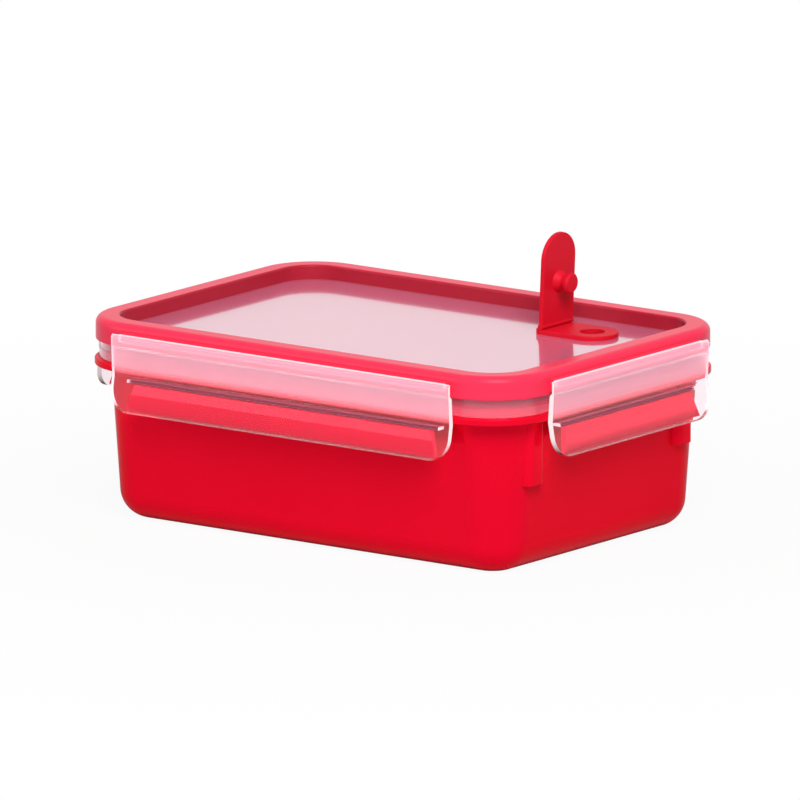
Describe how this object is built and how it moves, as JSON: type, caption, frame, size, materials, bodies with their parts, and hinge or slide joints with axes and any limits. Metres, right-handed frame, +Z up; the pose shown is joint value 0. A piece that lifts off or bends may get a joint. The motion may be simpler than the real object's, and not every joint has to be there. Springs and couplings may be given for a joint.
{
  "type": "lunch box",
  "caption": "Rectangular lunch box: drafted tub with a flange, clear lid in a raised frame, hinged locking clips on all sides and a steam valve with a fold-down plug.",
  "frame": {"origin": "centre of the box's footprint, on the surface it stands on", "axes": "+X along the long side, towards the end nearest the valve; the front long side faces -Y; +Z up"},
  "size_m": [0.2138, 0.1552, 0.1084],
  "materials": {
    "container_red": "glossy moulded red",
    "clear_lid": "clear, polished",
    "frame_red": "satin moulded red",
    "seal_silicone": "soft translucent silicone",
    "clear_clip": "milky clear",
    "catch_red": "glossy moulded red",
    "valve_silicone": "matte red silicone"
  },
  "bodies": {
    "container": {"container": "container_red"},
    "lid": {"lid_panel": "clear_lid", "lid_frame": "frame_red", "lid_seal": "seal_silicone", "valve_base": "valve_silicone"},
    "front_clip": {"front_clip": "clear_clip", "front_catch_bar": "catch_red"},
    "right_clip": {"right_clip": "clear_clip", "right_catch_bar": "catch_red"},
    "back_clip": {"back_clip": "clear_clip", "back_catch_bar": "catch_red"},
    "left_clip": {"left_clip": "clear_clip", "left_catch_bar": "catch_red"},
    "valve_flap": {"valve_flap": "valve_silicone"}
  },
  "joints": [
    {"name": "lid_lift", "type": "slide", "parent": "container", "child": "lid", "axis": [0, 0, 1], "range_m": [0, 0.03]},
    {"name": "front_clip_hinge", "type": "hinge", "parent": "lid", "child": "front_clip", "pos_m": [0, -0.0746, 0.072], "axis": [-1, 0, 0], "range_deg": [0, 110]},
    {"name": "right_clip_hinge", "type": "hinge", "parent": "lid", "child": "right_clip", "pos_m": [0.1039, 0, 0.072], "axis": [0, -1, 0], "range_deg": [0, 110]},
    {"name": "back_clip_hinge", "type": "hinge", "parent": "lid", "child": "back_clip", "pos_m": [0, 0.0746, 0.072], "axis": [1, 0, 0], "range_deg": [0, 110]},
    {"name": "left_clip_hinge", "type": "hinge", "parent": "lid", "child": "left_clip", "pos_m": [-0.1039, 0, 0.072], "axis": [0, 1, 0], "range_deg": [0, 110]},
    {"name": "valve_flap_hinge", "type": "hinge", "parent": "lid", "child": "valve_flap", "pos_m": [0.0431, 0.037, 0.0738], "axis": [0, 1, 0], "range_deg": [-50, 87]}
  ],
  "couplings": [
    {"joint": "front_clip_hinge", "follows": "lid_lift", "rad_per_m": 63.99},
    {"joint": "right_clip_hinge", "follows": "lid_lift", "rad_per_m": 63.99},
    {"joint": "back_clip_hinge", "follows": "lid_lift", "rad_per_m": 63.99},
    {"joint": "left_clip_hinge", "follows": "lid_lift", "rad_per_m": 63.99}
  ]
}
